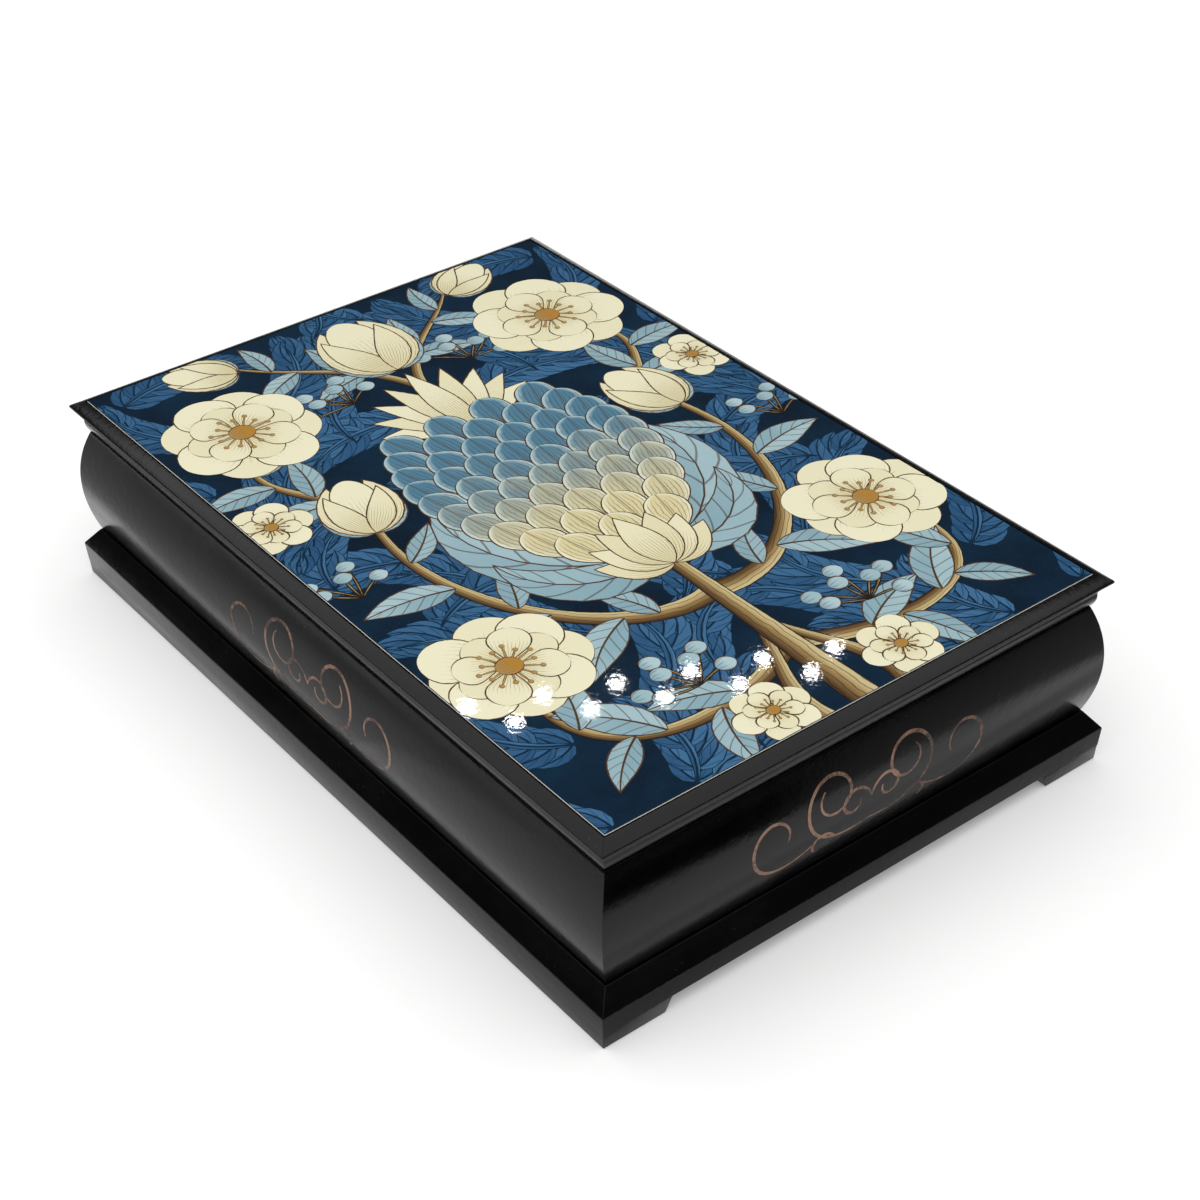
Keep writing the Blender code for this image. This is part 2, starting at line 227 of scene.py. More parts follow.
def drawBoard(name, levels):
    # a board from a plane: each level is (inset from the rim, height), extruded upwards
    inset, height = levels[0]
    piece = addPlane(name, 1, (0, 0, height))
    piece.scale = ((halfLength - inset) * 2, (halfWidth - inset) * 2, 1)
    applyPlace(piece)
    editAll(piece)
    for nextInset, nextHeight in levels[1:]:
        bpy.ops.mesh.extrude_region_move(TRANSFORM_OT_translate={"value": (0, 0, nextHeight - height)})
        grow = [(half - nextInset) / (half - inset) for half in (halfLength, halfWidth)]
        bpy.ops.transform.resize(value=(*grow, 1), center_override=(0, 0, nextHeight))
        inset, height = nextInset, nextHeight
    faceOut(piece)
    return piece


# material building blocks

def newFinish(name):
    material = bpy.data.materials.new(name)
    material.use_nodes = True
    return material, material.node_tree


def feed(tree, socket, value):
    if isinstance(value, bpy.types.NodeSocket):
        tree.links.new(value, socket)
    else:
        socket.default_value = value


def setLook(tree, looks):
    # numbers are set on the shader's own sockets, and patterns are linked to them
    for name, value in looks.items():
        feed(tree, tree.nodes["Principled BSDF"].inputs[name], value)


def calc(tree, operation, first, second=0.0, third=0.0):
    node = tree.nodes.new("ShaderNodeMath")
    node.operation = operation
    for socket, value in zip(node.inputs, (first, second, third)):
        feed(tree, socket, value)
    return node.outputs[0]


def times(tree, first, second):
    return calc(tree, "MULTIPLY", first, second)


def plus(tree, first, second):
    return calc(tree, "ADD", first, second)


def most(tree, first, second):
    return calc(tree, "MAXIMUM", first, second)


def inverse(tree, value):
    return calc(tree, "SUBTRACT", 1.0, value)


def band(tree, value, low, high):
    # smooth step from 0 below low to 1 above high
    node = tree.nodes.new("ShaderNodeMapRange")
    node.interpolation_type = "SMOOTHSTEP"
    feed(tree, node.inputs["Value"], value)
    node.inputs["From Min"].default_value = low
    node.inputs["From Max"].default_value = high
    return node.outputs["Result"]


def span(tree, value, low, high):
    # spread a 0 to 1 value between two numbers
    node = tree.nodes.new("ShaderNodeMapRange")
    feed(tree, node.inputs["Value"], value)
    node.inputs["To Min"].default_value = low
    node.inputs["To Max"].default_value = high
    return node.outputs["Result"]


def blendColour(tree, factor, first, second):
    # a colour is a pattern, a tuple, or the name of one of the picture's colours
    node = tree.nodes.new("ShaderNodeMix")
    node.data_type = "RGBA"
    feed(tree, node.inputs[0], factor)
    for socket, value in ((node.inputs[6], first), (node.inputs[7], second)):
        if isinstance(value, str):
            value = paintColours[value]
        feed(tree, socket, (*value, 1.0) if isinstance(value, tuple) else value)
    return node.outputs[2]


def grain(tree, scale, detail=3.0, roughness=0.55, stretch=(1, 1, 1)):
    coords = tree.nodes.new("ShaderNodeTexCoord")
    mapping = tree.nodes.new("ShaderNodeMapping")
    mapping.inputs["Scale"].default_value = stretch
    tree.links.new(coords.outputs["Object"], mapping.inputs["Vector"])
    noise = tree.nodes.new("ShaderNodeTexNoise")
    tree.links.new(mapping.outputs["Vector"], noise.inputs["Vector"])
    noise.inputs["Scale"].default_value = scale
    noise.inputs["Detail"].default_value = detail
    noise.inputs["Roughness"].default_value = roughness
    return noise.outputs["Fac"]


def objectPlace(tree):
    # x, y and z on the piece itself, which turn with it
    parts = tree.nodes.new("ShaderNodeSeparateXYZ")
    tree.links.new(tree.nodes.new("ShaderNodeTexCoord").outputs["Object"], parts.inputs[0])
    return parts.outputs


def attribute(tree, name):
    node = tree.nodes.new("ShaderNodeAttribute")
    node.attribute_name = name
    return node.outputs


def addBump(tree, height, strength, distance, before=None):
    node = tree.nodes.new("ShaderNodeBump")
    node.inputs["Strength"].default_value = strength
    node.inputs["Distance"].default_value = distance
    tree.links.new(height, node.inputs["Height"])
    if before is not None:
        tree.links.new(before, node.inputs["Normal"])
    setLook(tree, {"Normal": node.outputs["Normal"]})
    return node.outputs["Normal"]


blackLook = {  # a grain is its scale, detail, roughness and stretch; a bump its strength and depth
    "body": (0.0011, 0.0010, 0.0011), "haze": (0.0030, 0.0028, 0.0028), "rubbed": (0.012, 0.011, 0.010),
    "dust": (0.085, 0.082, 0.078), "dustShare": 0.6, "smooth": 0.13, "dull": 0.23, "gloss": 0.24,
    "cloudGrain": (60, 4, 0.6), "brushGrain": (240, 3, 0.6, (0.25, 0.25, 3.0)), "dustGrain": (2100, 1),
    "wearGrain": (900, 4), "peelGrain": (520, 3, 0.6), "peelBump": (0.50, 0.1 * mm),
    "fineGrain": (2600, 3, 0.65), "fineBump": (0.80, 0.02 * mm),
}


def makeBlackLacquer():
    material, tree = newFinish("black_lacquer")
    cloud = grain(tree, *blackLook["cloudGrain"])
    brushed = grain(tree, *blackLook["brushGrain"])
    tint = blendColour(tree, band(tree, cloud, 0.35, 0.75), blackLook["body"], blackLook["haze"])
    specks = band(tree, grain(tree, *blackLook["dustGrain"]), 0.73, 0.80)
    dust = times(tree, specks, band(tree, cloud, 0.45, 0.6))
    tint = blendColour(tree, times(tree, dust, blackLook["dustShare"]), tint, blackLook["dust"])
    wear = band(tree, grain(tree, *blackLook["wearGrain"]), 0.45, 0.65)
    worn = times(tree, attribute(tree, "arris")["Fac"], wear)
    mottle = calc(tree, "MULTIPLY_ADD", brushed, 0.5, times(tree, cloud, 0.5))
    setLook(tree, {
        "Base Color": blendColour(tree, worn, tint, blackLook["rubbed"]),
        "Roughness": span(tree, band(tree, mottle, 0.3, 0.7), blackLook["smooth"], blackLook["dull"]),
        "Specular IOR Level": blackLook["gloss"]})
    peel = addBump(tree, grain(tree, *blackLook["peelGrain"]), *blackLook["peelBump"])
    addBump(tree, grain(tree, *blackLook["fineGrain"]), *blackLook["fineBump"], peel)
    return material


redLook = {
    "body": (0.36, 0.020, 0.012), "deep": (0.22, 0.010, 0.008), "bright": (0.47, 0.040, 0.018),
    "streakShare": 0.35, "smooth": 0.16, "dull": 0.30, "coat": 0.5, "coatDull": 0.08,
    "cloudGrain": (45, 4, 0.6), "streakGrain": (160, 4, 0.6, (0.2, 2.5, 1.0)),
    "peelGrain": (380, 2, 0.5), "peelBump": (0.06, 0.1 * mm),
}


def makeRedLacquer():
    material, tree = newFinish("red_lacquer")
    cloud = grain(tree, *redLook["cloudGrain"])
    streak = grain(tree, *redLook["streakGrain"])
    tint = blendColour(tree, band(tree, cloud, 0.3, 0.7), redLook["deep"], redLook["body"])
    streaks = times(tree, band(tree, streak, 0.5, 0.75), redLook["streakShare"])
    setLook(tree, {
        "Base Color": blendColour(tree, streaks, tint, redLook["bright"]),
        "Roughness": span(tree, streak, redLook["smooth"], redLook["dull"]),
        "Coat Weight": redLook["coat"], "Coat Roughness": redLook["coatDull"]})
    addBump(tree, grain(tree, *redLook["peelGrain"]), *redLook["peelBump"])
    return material


brassLook = {
    "body": (0.66, 0.44, 0.16), "tarnish": (0.30, 0.18, 0.07), "smooth": 0.20, "dull": 0.42,
    "cloudGrain": (500, 4, 0.6), "scratchGrain": (2500, 3, 0.6, (0.15, 2.0, 1.0)),
    "scratchBump": (0.08, 0.03 * mm),
}


def makeBrass():
    material, tree = newFinish("hinge_brass")
    cloud = grain(tree, *brassLook["cloudGrain"])
    tarnished = band(tree, cloud, 0.45, 0.75)
    setLook(tree, {
        "Base Color": blendColour(tree, tarnished, brassLook["body"], brassLook["tarnish"]),
        "Roughness": span(tree, cloud, brassLook["smooth"], brassLook["dull"]), "Metallic": 1.0})
    addBump(tree, grain(tree, *brassLook["scratchGrain"]), *brassLook["scratchBump"])
    return material


blackLacquer = makeBlackLacquer()
redLacquer = makeRedLacquer()
hingeBrass = makeBrass()
print("lacquer and brass ready")


# plinth: one bevelled board on two runners, all flush on the outside

plinth = {
    "rimHeight": 7.6 * mm, "draft": 0.5 * mm, "wallFoot": 3.2 * mm, "ledge": 0.3 * mm,
    "runnerWidth": 13.5 * mm, "runnerSlant": 1.5 * mm, "arris": 0.22 * mm, "cornerShare": 0.2,
    "seam": 0.01 * mm,
}
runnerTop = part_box("foot_runner_front")[1].z


def sideLean(height):
    return plinth["draft"] * (1 - height / plinth["rimHeight"])


def makePlinth():
    underside = runnerTop + plinth["seam"]
    board = drawBoard("base_board_lacquered", [
        (sideLean(underside), underside), (0, plinth["rimHeight"]),
        (plinth["wallFoot"] - plinth["ledge"], seatHeight)])

    def weigh(heights, normals):
        # the rim is rounded, its corners and the top edge hardly, and the glued seam below not at all
        if max(heights) < underside + plinth["arris"]:
            return 0.0
        onRim = max(abs(height - plinth["rimHeight"]) for height in heights) < plinth["arris"]
        return 1.0 if onRim else plinth["cornerShare"]

    roundEdges(board, plinth["arris"], 4, weigh)
    finishPiece(board, blackLacquer, "case", "black_lacquer", "base_board")
    for name in ("front", "back"):
        runner = drawRunner(name)
        finishPiece(runner, blackLacquer, "case", "black_lacquer", f"foot_runner_{name}")


def drawRunner(sideName):
    sole = -sideLean(0)
    inner = sole - plinth["runnerWidth"]
    outline = [(sole, 0), (-sideLean(runnerTop), runnerTop),
               (inner - plinth["runnerSlant"], runnerTop), (inner, 0)]
    runner = drawRail(f"foot_runner_{sideName}_lacquered", sideName, outline, mitred=False)
    along, halfRun = sides[sideName][0], sides[sideName][2]
    for direction in (1, -1):
        normal = (along * direction * plinth["rimHeight"] - up * plinth["draft"]).normalized()
        cutAway(runner, along * direction * halfRun + up * plinth["rimHeight"], normal)
    faceOut(runner)

    def weigh(heights, normals):
        # all but the seam under the board
        return float(min(heights) < runnerTop - plinth["arris"])

    roundEdges(runner, plinth["arris"], 3, weigh)
    return runner


makePlinth()
print("plinth and runners made")


# walls: one arc from foot to neck, mitred at the corners

wall = {
    "footInset": 3.2 * mm, "neckInset": 3.8 * mm, "bulge": 2.4 * mm, "thickness": 6.4 * mm, "steps": 48,
    "arris": 0.16 * mm,
}
wallFoot, neck = (corner.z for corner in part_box("front_wall"))
wallArc = arcPoints((-wall["footInset"], wallFoot), (-wall["neckInset"], neck), wall["bulge"],
                    wall["steps"])
hinge = {
    "length": 22 * mm, "gap": 0.3 * mm, "barrel": 1.4 * mm, "barrelRoom": 0.2 * mm, "pinHead": 0.5 * mm,
    "leafThickness": 0.8 * mm, "leafLift": 0.15 * mm, "leafRoom": 0.05 * mm, "endRoom": 0.1 * mm,
    "pastAxis": 4 * mm, "mouth": 2 * mm, "facets": 64,
}
axisY, axisZ = frame["joints"][0]["pos_m"][1:]


def cutHingeSeats(piece, leaf):
    # mortise for the leaf and a round notch for the barrel, at both hinges
    way = -1 if leaf == "case" else 1
    floor = axisZ + way * (hinge["leafLift"] + hinge["leafThickness"] + hinge["leafRoom"])
    mouth = axisZ - way * hinge["mouth"]
    for name in ("left", "right"):
        low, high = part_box(f"hinge_{name}_{leaf}_leaf")
        middle = (low.x + high.x) / 2
        inner, outer = low.y - hinge["endRoom"], axisY + hinge["pastAxis"]
        clearSelection()
        bpy.ops.mesh.primitive_cube_add(size=1, location=(middle, (inner + outer) / 2, (floor + mouth) / 2))
        block = bpy.context.object
        block.scale = (hinge["length"] + hinge["gap"], outer - inner, abs(mouth - floor))
        applyPlace(block)
        clearSelection()
        bpy.ops.mesh.primitive_cylinder_add(
            vertices=hinge["facets"], radius=hinge["barrel"] + hinge["barrelRoom"],
            depth=hinge["length"] + 2 * (hinge["pinHead"] + 2 * hinge["gap"]),
            location=(middle, axisY, axisZ), rotation=(0, math.pi / 2, 0))
        notch = bpy.context.object
        applyPlace(notch)
        for cutter in (block, notch):
            useModifier(piece, "BOOLEAN", operation="DIFFERENCE", solver="EXACT", object=cutter)
            bpy.data.objects.remove(cutter)


def makeWalls():
    inner = -wall["neckInset"] - wall["thickness"]
    outline = wallArc + [(inner, neck), (inner, wallFoot)]
    for name in sides:
        piece = drawRail(f"{name}_wall_lacquered", name, outline)
        if name == "back":
            cutHingeSeats(piece, "case")
        roundArrises(piece, wall["arris"], seams=(wallFoot, neck))
        finishPiece(piece, blackLacquer, "case", "black_lacquer", f"{name}_wall")


makeWalls()
print("walls made")


# red inside: floor board and four lining strips that stand above the walls as a lip

inside = {
    "stripRound": 0.9 * mm, "stripSteps": 16, "stripFoot": 0.02 * mm, "boardRound": 0.1 * mm,
    "tuck": 0.25 * mm,
}


def makeRedBoard(node, body):
    low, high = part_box(node)
    inset = halfLength - high.x - inside["tuck"]
    board = drawBoard(f"{node}_lacquered", [(inset, low.z), (inset, high.z)])
    roundArrises(board, inside["boardRound"])
    finishPiece(board, redLacquer, body, "red_lacquer", node)


def makeStrips():
    low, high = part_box("liner_front")
    outer, inner = -halfWidth - low.y, -halfWidth - high.y
    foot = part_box("floor_panel")[1].z + inside["stripFoot"]
    half = (outer - inner) / 2
    shoulder = high.z - inside["stripRound"]
    outline = [Vector((outer, foot))]
    for step in range(inside["stripSteps"] + 1):
        turn = math.pi * step / inside["stripSteps"]
        outline.append(Vector(((outer + inner) / 2 + half * math.cos(turn),
                               shoulder + inside["stripRound"] * math.sin(turn))))
    outline.append(Vector((inner, foot)))
    for name in sides:
        strip = drawRail(f"liner_{name}_lacquered", name, outline)
        smoothShade(strip, edges["sharp"])
        finishPiece(strip, redLacquer, "case", "red_lacquer", f"liner_{name}")


makeRedBoard("floor_panel", "case")
makeStrips()
print("red inside made")


# lid frame: bead, cove, ridge and crowned border round the picture's rebate

lid = {
    "beadSetback": 0.2 * mm, "beadHeight": 2.7 * mm, "beadReach": 0.85 * mm, "beadBulge": 0.35 * mm,
    "coveHeight": 2.6 * mm, "coveReach": 1.95 * mm, "coveHollow": 0.4 * mm, "ridge": 0.5 * mm,
    "borderWidth": 2.6 * mm, "borderRise": 1.3 * mm, "borderCrown": 0.12 * mm,
    "beadSteps": 14, "coveSteps": 12, "borderSteps": 12,
    "arris": 0.14 * mm, "sharp": 24, "settle": 0.22 * mm,
}
lidLow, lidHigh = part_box("lid_frame_front")
lidUnder = lidLow.z - lid["settle"]
beadFoot = -wall["neckInset"] - lid["beadSetback"]
beadTop = (beadFoot + lid["beadReach"], lidLow.z + lid["beadHeight"])
coveTop = (beadTop[0] + lid["coveReach"], beadTop[1] + lid["coveHeight"])
ridgeTop = (coveTop[0], coveTop[1] + lid["ridge"])
borderTop = (ridgeTop[0] - lid["borderWidth"], ridgeTop[1] + lid["borderRise"])


def makeLidFrame():
    innerInset = -(halfWidth + lidHigh.y)
    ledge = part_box("lid_lining")[1].z
    outline = arcPoints((beadFoot, lidUnder), beadTop, lid["beadBulge"], lid["beadSteps"])
    outline += arcPoints(beadTop, coveTop, -lid["coveHollow"], lid["coveSteps"])[1:]
    outline += arcPoints(ridgeTop, borderTop, lid["borderCrown"], lid["borderSteps"])
    outline += [Vector((borderTop[0], ledge)), Vector((innerInset, ledge)), Vector((innerInset, lidUnder))]
    for name in sides:
        piece = drawRail(f"lid_frame_{name}_lacquered", name, outline)
        if name == "back":
            cutHingeSeats(piece, "lid")
        roundArrises(piece, lid["arris"], lid["sharp"], (lidUnder,))
        finishPiece(piece, blackLacquer, "lid", "black_lacquer", f"lid_frame_{name}")


makeLidFrame()
makeRedBoard("lid_lining", "lid")
print("lid frame made")

for node in frame["nodes"]:
    if node.startswith("hinge"):
        frame["nodes"][node].data.materials.clear()
        frame["nodes"][node].data.materials.append(hingeBrass)
print("hinges dressed")

# picture: painted flat in thin layers, drawn in millimetres with q across the lid and p up it

picture = {"layer": 0.0012 * mm, "skin": 0.006 * mm, "levels": 150, "edge": 0.13 * mm, "trim": 0.1 * mm}
pictureLow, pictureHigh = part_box("picture_panel")
groundTop = pictureHigh.z - picture["levels"] * picture["layer"]
paintColours = {
    "night": (0.0012, 0.0090, 0.0220), "navy": (0.0022, 0.0200, 0.0460), "blue": (0.017, 0.074, 0.170),
    "sky": (0.066, 0.185, 0.350), "steel": (0.085, 0.215, 0.310), "pale": (0.223, 0.375, 0.440),
    "mist": (0.445, 0.600, 0.630), "cream": (0.730, 0.650, 0.370), "ivory": (0.880, 0.840, 0.600),
    "ochre": (0.445, 0.216, 0.034), "tan": (0.440, 0.290, 0.110), "umber": (0.080, 0.038, 0.014),
    "ink": (0.016, 0.010, 0.008), "board": (0.700, 0.680, 0.610),
}
varnishLook = {
    "Roughness": 0.5, "Specular IOR Level": 0.04,
    "Coat Weight": 0.8, "Coat Roughness": 0.02, "Coat IOR": 1.45,
}
varnishRipple = {"grain": (900, 2, 0.5), "bump": (0.14, 0.02 * mm)}


def varnish(material, colour):
    tree = material.node_tree
    setLook(tree, {"Base Color": colour, **varnishLook})
    ripple = addBump(tree, grain(tree, *varnishRipple["grain"]), *varnishRipple["bump"])
    setLook(tree, {"Coat Normal": ripple})
    return material


def paintCoords(tree):
    # where a spot lies on its brush stroke: across it, along it and in from its edge
    parts = tree.nodes.new("ShaderNodeSeparateXYZ")
    tree.links.new(attribute(tree, "stroke")["Vector"], parts.inputs[0])
    across, along, edge = parts.outputs
    apart = calc(tree, "ABSOLUTE", across)
    share = calc(tree, "DIVIDE", across, plus(tree, plus(tree, apart, edge), 0.001))
    tone = attribute(tree, "tone")["Fac"]
    return {"along": along, "edge": edge, "apart": apart, "share": share, "tone": tone}


def thinLines(tree, phase, width):
    # 1 on lines where the phase passes a whole number
    wave = calc(tree, "ABSOLUTE", calc(tree, "SUBTRACT", calc(tree, "FRACT", phase), 0.5))
    return band(tree, wave, 0.5 - width, 0.5 - width * 0.45)


def outlined(tree, at, width):
    wobble = calc(tree, "MULTIPLY_ADD", grain(tree, 700, 2), 0.24, -0.12)
    return inverse(tree, band(tree, plus(tree, at["edge"], wobble), width * 0.75, width * 1.15))


def hatched(tree, at, count, wander, width):
    # fine lines along the stroke, which wander a little
    phase = plus(tree, times(tree, at["share"], count), wander)
    return thinLines(tree, phase, width)


def makeLeafPaint(name, light, dark, ink, veins, outline):
    material, tree = newFinish(name)
    at = paintCoords(tree)
    half = band(tree, at["share"], -0.12, 0.12)
    depth = calc(tree, "MULTIPLY_ADD", half, 0.5, times(tree, grain(tree, 260, 4, 0.6), 0.4))
    body = blendColour(tree, depth, dark, light)
    tip = blendColour(tree, times(tree, band(tree, at["along"], 0.35, 1.0), 0.5), body, light)
    shade = blendColour(tree, times(tree, at["tone"], 0.6), tip, dark)
    slant = times(tree, calc(tree, "ABSOLUTE", at["share"]), 1.3)
    phase = calc(tree, "SUBTRACT", times(tree, at["along"], veins), slant)
    vein = times(tree, thinLines(tree, phase, 0.08), 0.65)
    taper = plus(tree, at["apart"], times(tree, at["along"], 0.12))
    rib = inverse(tree, band(tree, taper, 0.18, 0.32))
    lines = most(tree, most(tree, vein, rib), outlined(tree, at, outline))
    return varnish(material, blendColour(tree, lines, shade, ink))


def makePetalPaint(name, light, base, ink, hatches, outline):
    material, tree = newFinish(name)
    at = paintCoords(tree)
    uneven = plus(tree, at["along"], times(tree, grain(tree, 200, 4, 0.6), 0.25))
    warm = inverse(tree, band(tree, uneven, 0.1, 0.8))
    toned = blendColour(tree, times(tree, at["tone"], 0.6), light, base)
    body = blendColour(tree, times(tree, warm, 0.8), toned, base)
    hatch = hatched(tree, at, hatches, times(tree, grain(tree, 320, 2), 0.9), 0.11)
    ragged = plus(tree, at["along"], times(tree, grain(tree, 900, 2), 0.5))
    hatch = times(tree, hatch, inverse(tree, band(tree, ragged, 0.45, 1.0)))
    lines = most(tree, times(tree, hatch, 0.7), outlined(tree, at, outline))
    return varnish(material, blendColour(tree, lines, body, ink))


def makeScalePaint(name, hatches, outline):
    # feathered scales, blue at the crown and cream at the foot, each with a pale rim
    material, tree = newFinish(name)
    at = paintCoords(tree)
    blush = band(tree, calc(tree, "MULTIPLY_ADD", grain(tree, 60, 3), 0.5, at["tone"]), 0.55, 1.25)
    heart = blendColour(tree, blush, "steel", "cream")
    rim = blendColour(tree, blush, "mist", "ivory")
    inward = plus(tree, at["edge"], times(tree, grain(tree, 420, 3), 1.6))
    body = blendColour(tree, inverse(tree, band(tree, inward, 1.0, 2.8)), heart, rim)
    hatch = hatched(tree, at, hatches, times(tree, grain(tree, 500, 2), 0.8), 0.13)
    ragged = plus(tree, at["along"], times(tree, grain(tree, 1100, 2), 0.3))
    hatch = times(tree, hatch, inverse(tree, band(tree, ragged, 0.80, 1.15)))
    rib = inverse(tree, band(tree, at["apart"], 0.10, 0.22))
    lines = most(tree, times(tree, most(tree, hatch, rib), 0.6), outlined(tree, at, outline))
    return varnish(material, blendColour(tree, lines, body, "umber"))


def makeBarkPaint(name, hatches, outline):
    material, tree = newFinish(name)
    at = paintCoords(tree)
    lit = blendColour(tree, band(tree, at["share"], -0.9, 0.5), "umber", "tan")
    body = blendColour(tree, times(tree, band(tree, at["share"], -0.1, 0.75), 0.6), lit, "cream")
    bark = hatched(tree, at, hatches, times(tree, grain(tree, 160, 3), 1.6), 0.11)
    lines = most(tree, times(tree, bark, 0.7), outlined(tree, at, outline))
    return varnish(material, blendColour(tree, lines, body, "ink"))


def makeGroundPaint():
    # night blue, washed unevenly, with the board pale where its edge is broken, and painted shade in ink
    # down its side, where it stands in the gap under the frame
    material, tree = newFinish("ground_paint")
    body = blendColour(tree, band(tree, grain(tree, 55, 5, 0.65), 0.3, 0.7), "night", "navy")
    flecks = times(tree, band(tree, grain(tree, 1500, 3, 0.6), 0.55, 0.8), 0.2)
    body = blendColour(tree, flecks, body, "blue")
    depth = calc(tree, "DIVIDE", calc(tree, "SUBTRACT", groundTop, objectPlace(tree)["Z"]), picture["edge"])
    edged = blendColour(tree, band(tree, depth, 0.1, 0.5), body, "board")
    # below the pale edge the panel's side is inked dark: painted shade of the gap round the panel
    return varnish(material, blendColour(tree, band(tree, depth, 1.05, 1.3), edged, "ink"))


# brush strokes: sheets laid along a path, as wide as their kind of stroke is there

def leafShape(share):
    return math.sin(math.pi * share ** 0.78) ** 0.92


def petalShape(share):
    widest = 0.6
    if share < widest:
        return 0.16 + 0.84 * math.sin(math.pi / 2 * share / widest) ** 1.25
    return math.sqrt(max(0.0, 1 - ((share - widest) / (1 - widest)) ** 2))


def discShape(share):
    return math.sqrt(max(0.0, 1 - (2 * share - 1) ** 2))


def stemShape(share):
    return 1.0 - 0.6 * share


def threadShape(share):
    return 0.45 + 0.55 * math.sin(math.pi * share) ** 0.7


def lobeShape(share):
    return math.sin(math.pi * share ** 0.7) ** 0.8


strokeKinds = {  # half width along the stroke, columns, rows, how the rows bunch
    "leaf": (leafShape, 6, 14, "ends"), "petal": (petalShape, 6, 14, "tip"),
    "disc": (discShape, 6, 12, "ends"), "stem": (stemShape, 4, 40, "even"),
    "thread": (threadShape, 2, 18, "even"), "lobe": (lobeShape, 2, 7, "ends"),
    "line": (threadShape, 2, 90, "even"),
}
templates = {}
strokes = {}


def strokeTemplate(columns, rows):
    if (columns, rows) not in templates:
        clearSelection()
        bpy.ops.mesh.primitive_grid_add(x_subdivisions=columns, y_subdivisions=rows, size=1)
        sheet = bpy.context.object
        places = [(vert.co.x + 0.5, vert.co.y + 0.5) for vert in sheet.data.vertices]
        mesh = sheet.data.copy()
        bpy.data.objects.remove(sheet)
        templates[(columns, rows)] = (mesh, places)
    return templates[(columns, rows)]


def bunch(share, manner):
    if manner == "ends":
        return (1 - math.cos(math.pi * share)) / 2
    if manner == "tip":
        return math.sin(math.pi / 2 * share)
    return share


def pathAt(path, share):
    # point and heading on a list of points, by share of its count
    place = share * (len(path) - 1)
    index = min(int(place), len(path) - 2)
    step = path[index + 1] - path[index]
    return path[index] + step * (place - index), step.normalized()


def freeLevel(surface, box, loose):
    # painted over everything it crosses, or, when loose, on the first level that is free there
    crossed = set()
    for (left, low, right, high), level in surface["painted"]:
        if left < box[2] and right > box[0] and low < box[3] and high > box[1]:
            crossed.add(level)
    level = 1
    if loose:
        while level in crossed:
            level += 1
    elif crossed:
        level = max(crossed) + 1
    surface["painted"].append((box, level))
    return level


def stroke(surface, paint, path, halfWide, kind, tone=0.0, loose=False):
    shape, columns, rows, manner = strokeKinds[kind]
    template, places = strokeTemplate(columns, rows)
    flat, marks = [], []
    for u, v in places:
        share = bunch(v, manner)
        point, heading = pathAt(path, share)
        half = halfWide * shape(share)
        across = (u - 0.5) * 2 * half
        flat.append(point + Vector((heading.y, -heading.x)) * across)
        marks.extend((across, share, half - abs(across)))
    box = (min(spot.x for spot in flat), min(spot.y for spot in flat),
           max(spot.x for spot in flat), max(spot.y for spot in flat))
    level = freeLevel(surface, box, loose)
    mesh = template.copy()
    mesh.vertices.foreach_set("co", [part for spot in flat for part in surface["place"](spot, level)])
    mesh.attributes.new("stroke", "FLOAT_VECTOR", "POINT").data.foreach_set("vector", marks)
    mesh.attributes.new("tone", "FLOAT", "POINT").data.foreach_set("value", [tone] * len(places))
    mesh.update()
    piece = bpy.data.objects.new(f"{paint}_stroke", mesh)
    bpy.context.scene.collection.objects.link(piece)
    strokes.setdefault(paint, []).append(piece)


def towards(degrees):
    return Vector((math.cos(math.radians(degrees)), math.sin(math.radians(degrees))))


def angleOf(heading):
    return math.degrees(math.atan2(heading.y, heading.x))


def flipped(path):
    return [Vector((-point.x, point.y)) for point in path]


def sweep(start, heading, length, bend, steps=16):
    # a path that starts at a heading in degrees and turns evenly by bend degrees
    points = [Vector(start)]
    for step in range(steps):
        points.append(points[-1] + towards(heading + bend * (step + 0.5) / steps) * length / steps)
    return points


def curve(first, second, third, fourth, steps=28):
    points = []
    for step in range(steps + 1):
        t = step / steps
        point = (Vector(first) * (1 - t) ** 3 + Vector(second) * 3 * t * (1 - t) ** 2
                 + Vector(third) * 3 * t * t * (1 - t) + Vector(fourth) * t ** 3)
        points.append(point)
    return points


def onLid(spot, level):
    return -spot.y * mm, spot.x * mm, groundTop + level * picture["layer"]


lidFace = {"place": onLid, "painted": []}


# motifs of the picture, in millimetres and degrees

def drawDot(paint, middle, radius, tone=0.0):
    path = sweep(Vector(middle) - Vector((radius, 0)), 0, radius * 2, 0, 6)
    stroke(lidFace, paint, path, radius, "disc", tone)


rosette = {  # lengths and widths are shares of its radius
    "rings": ((1.0, 0.42, 0.0), (0.64, 0.27, 0.5)),        # petal length, half width, turn by petals
    "root": 0.1, "lengths": (0.86, 0.98), "sway": 5, "bend": 16, "evenTone": 0.35, "ringTone": 0.25,
    "seeds": 14, "seedReach": 0.31, "seedStagger": 0.07, "seedStem": 0.016, "seedHead": 0.036,
    "heart": 0.17, "heartTone": 0.2,
}


